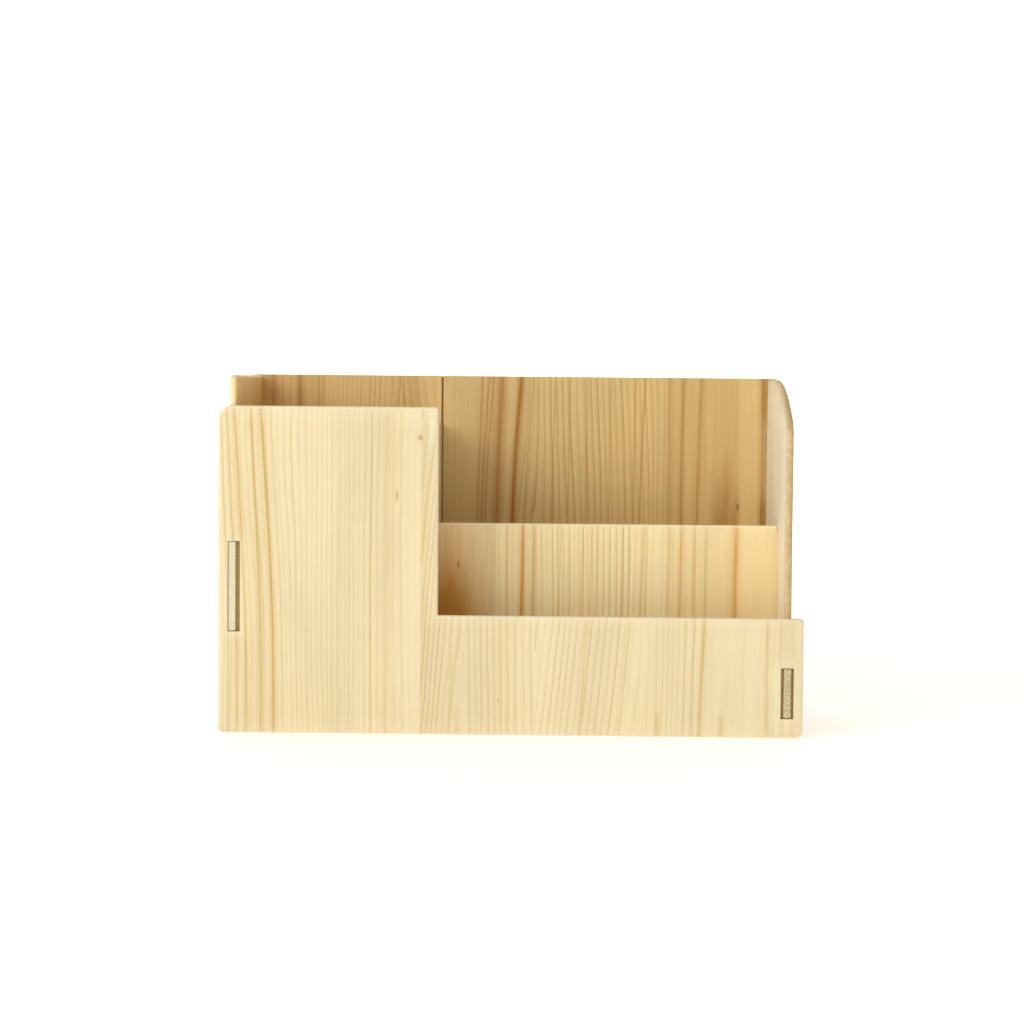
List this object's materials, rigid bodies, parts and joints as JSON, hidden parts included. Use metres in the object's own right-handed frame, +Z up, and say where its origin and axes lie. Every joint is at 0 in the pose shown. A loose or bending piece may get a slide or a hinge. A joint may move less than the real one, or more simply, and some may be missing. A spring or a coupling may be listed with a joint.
{
  "type": "desk organizer",
  "caption": "Slot-together pine desk organizer with a stepped front, a tall pen compartment, a low front tray and a deeper rear compartment.",
  "frame": {"origin": "middle of the footprint, at the surface the organizer stands on", "axes": "+X to the right along the front, +Y to the back, +Z up; the stepped front panel faces -Y"},
  "size_m": [0.24, 0.095, 0.147],
  "materials": {
    "front_pine": "clear satin",
    "side_pine": "clear satin",
    "back_pine": "clear satin",
    "divider_pine": "clear satin",
    "inner_pine": "clear satin"
  },
  "bodies": {
    "root": {"front_panel": "front_pine", "left_side_panel": "side_pine", "right_side_panel": "side_pine", "back_left_board": "back_pine", "back_right_board": "back_pine", "base_panel": "inner_pine", "long_divider": "divider_pine", "cross_divider": "inner_pine"}
  },
  "joints": []
}
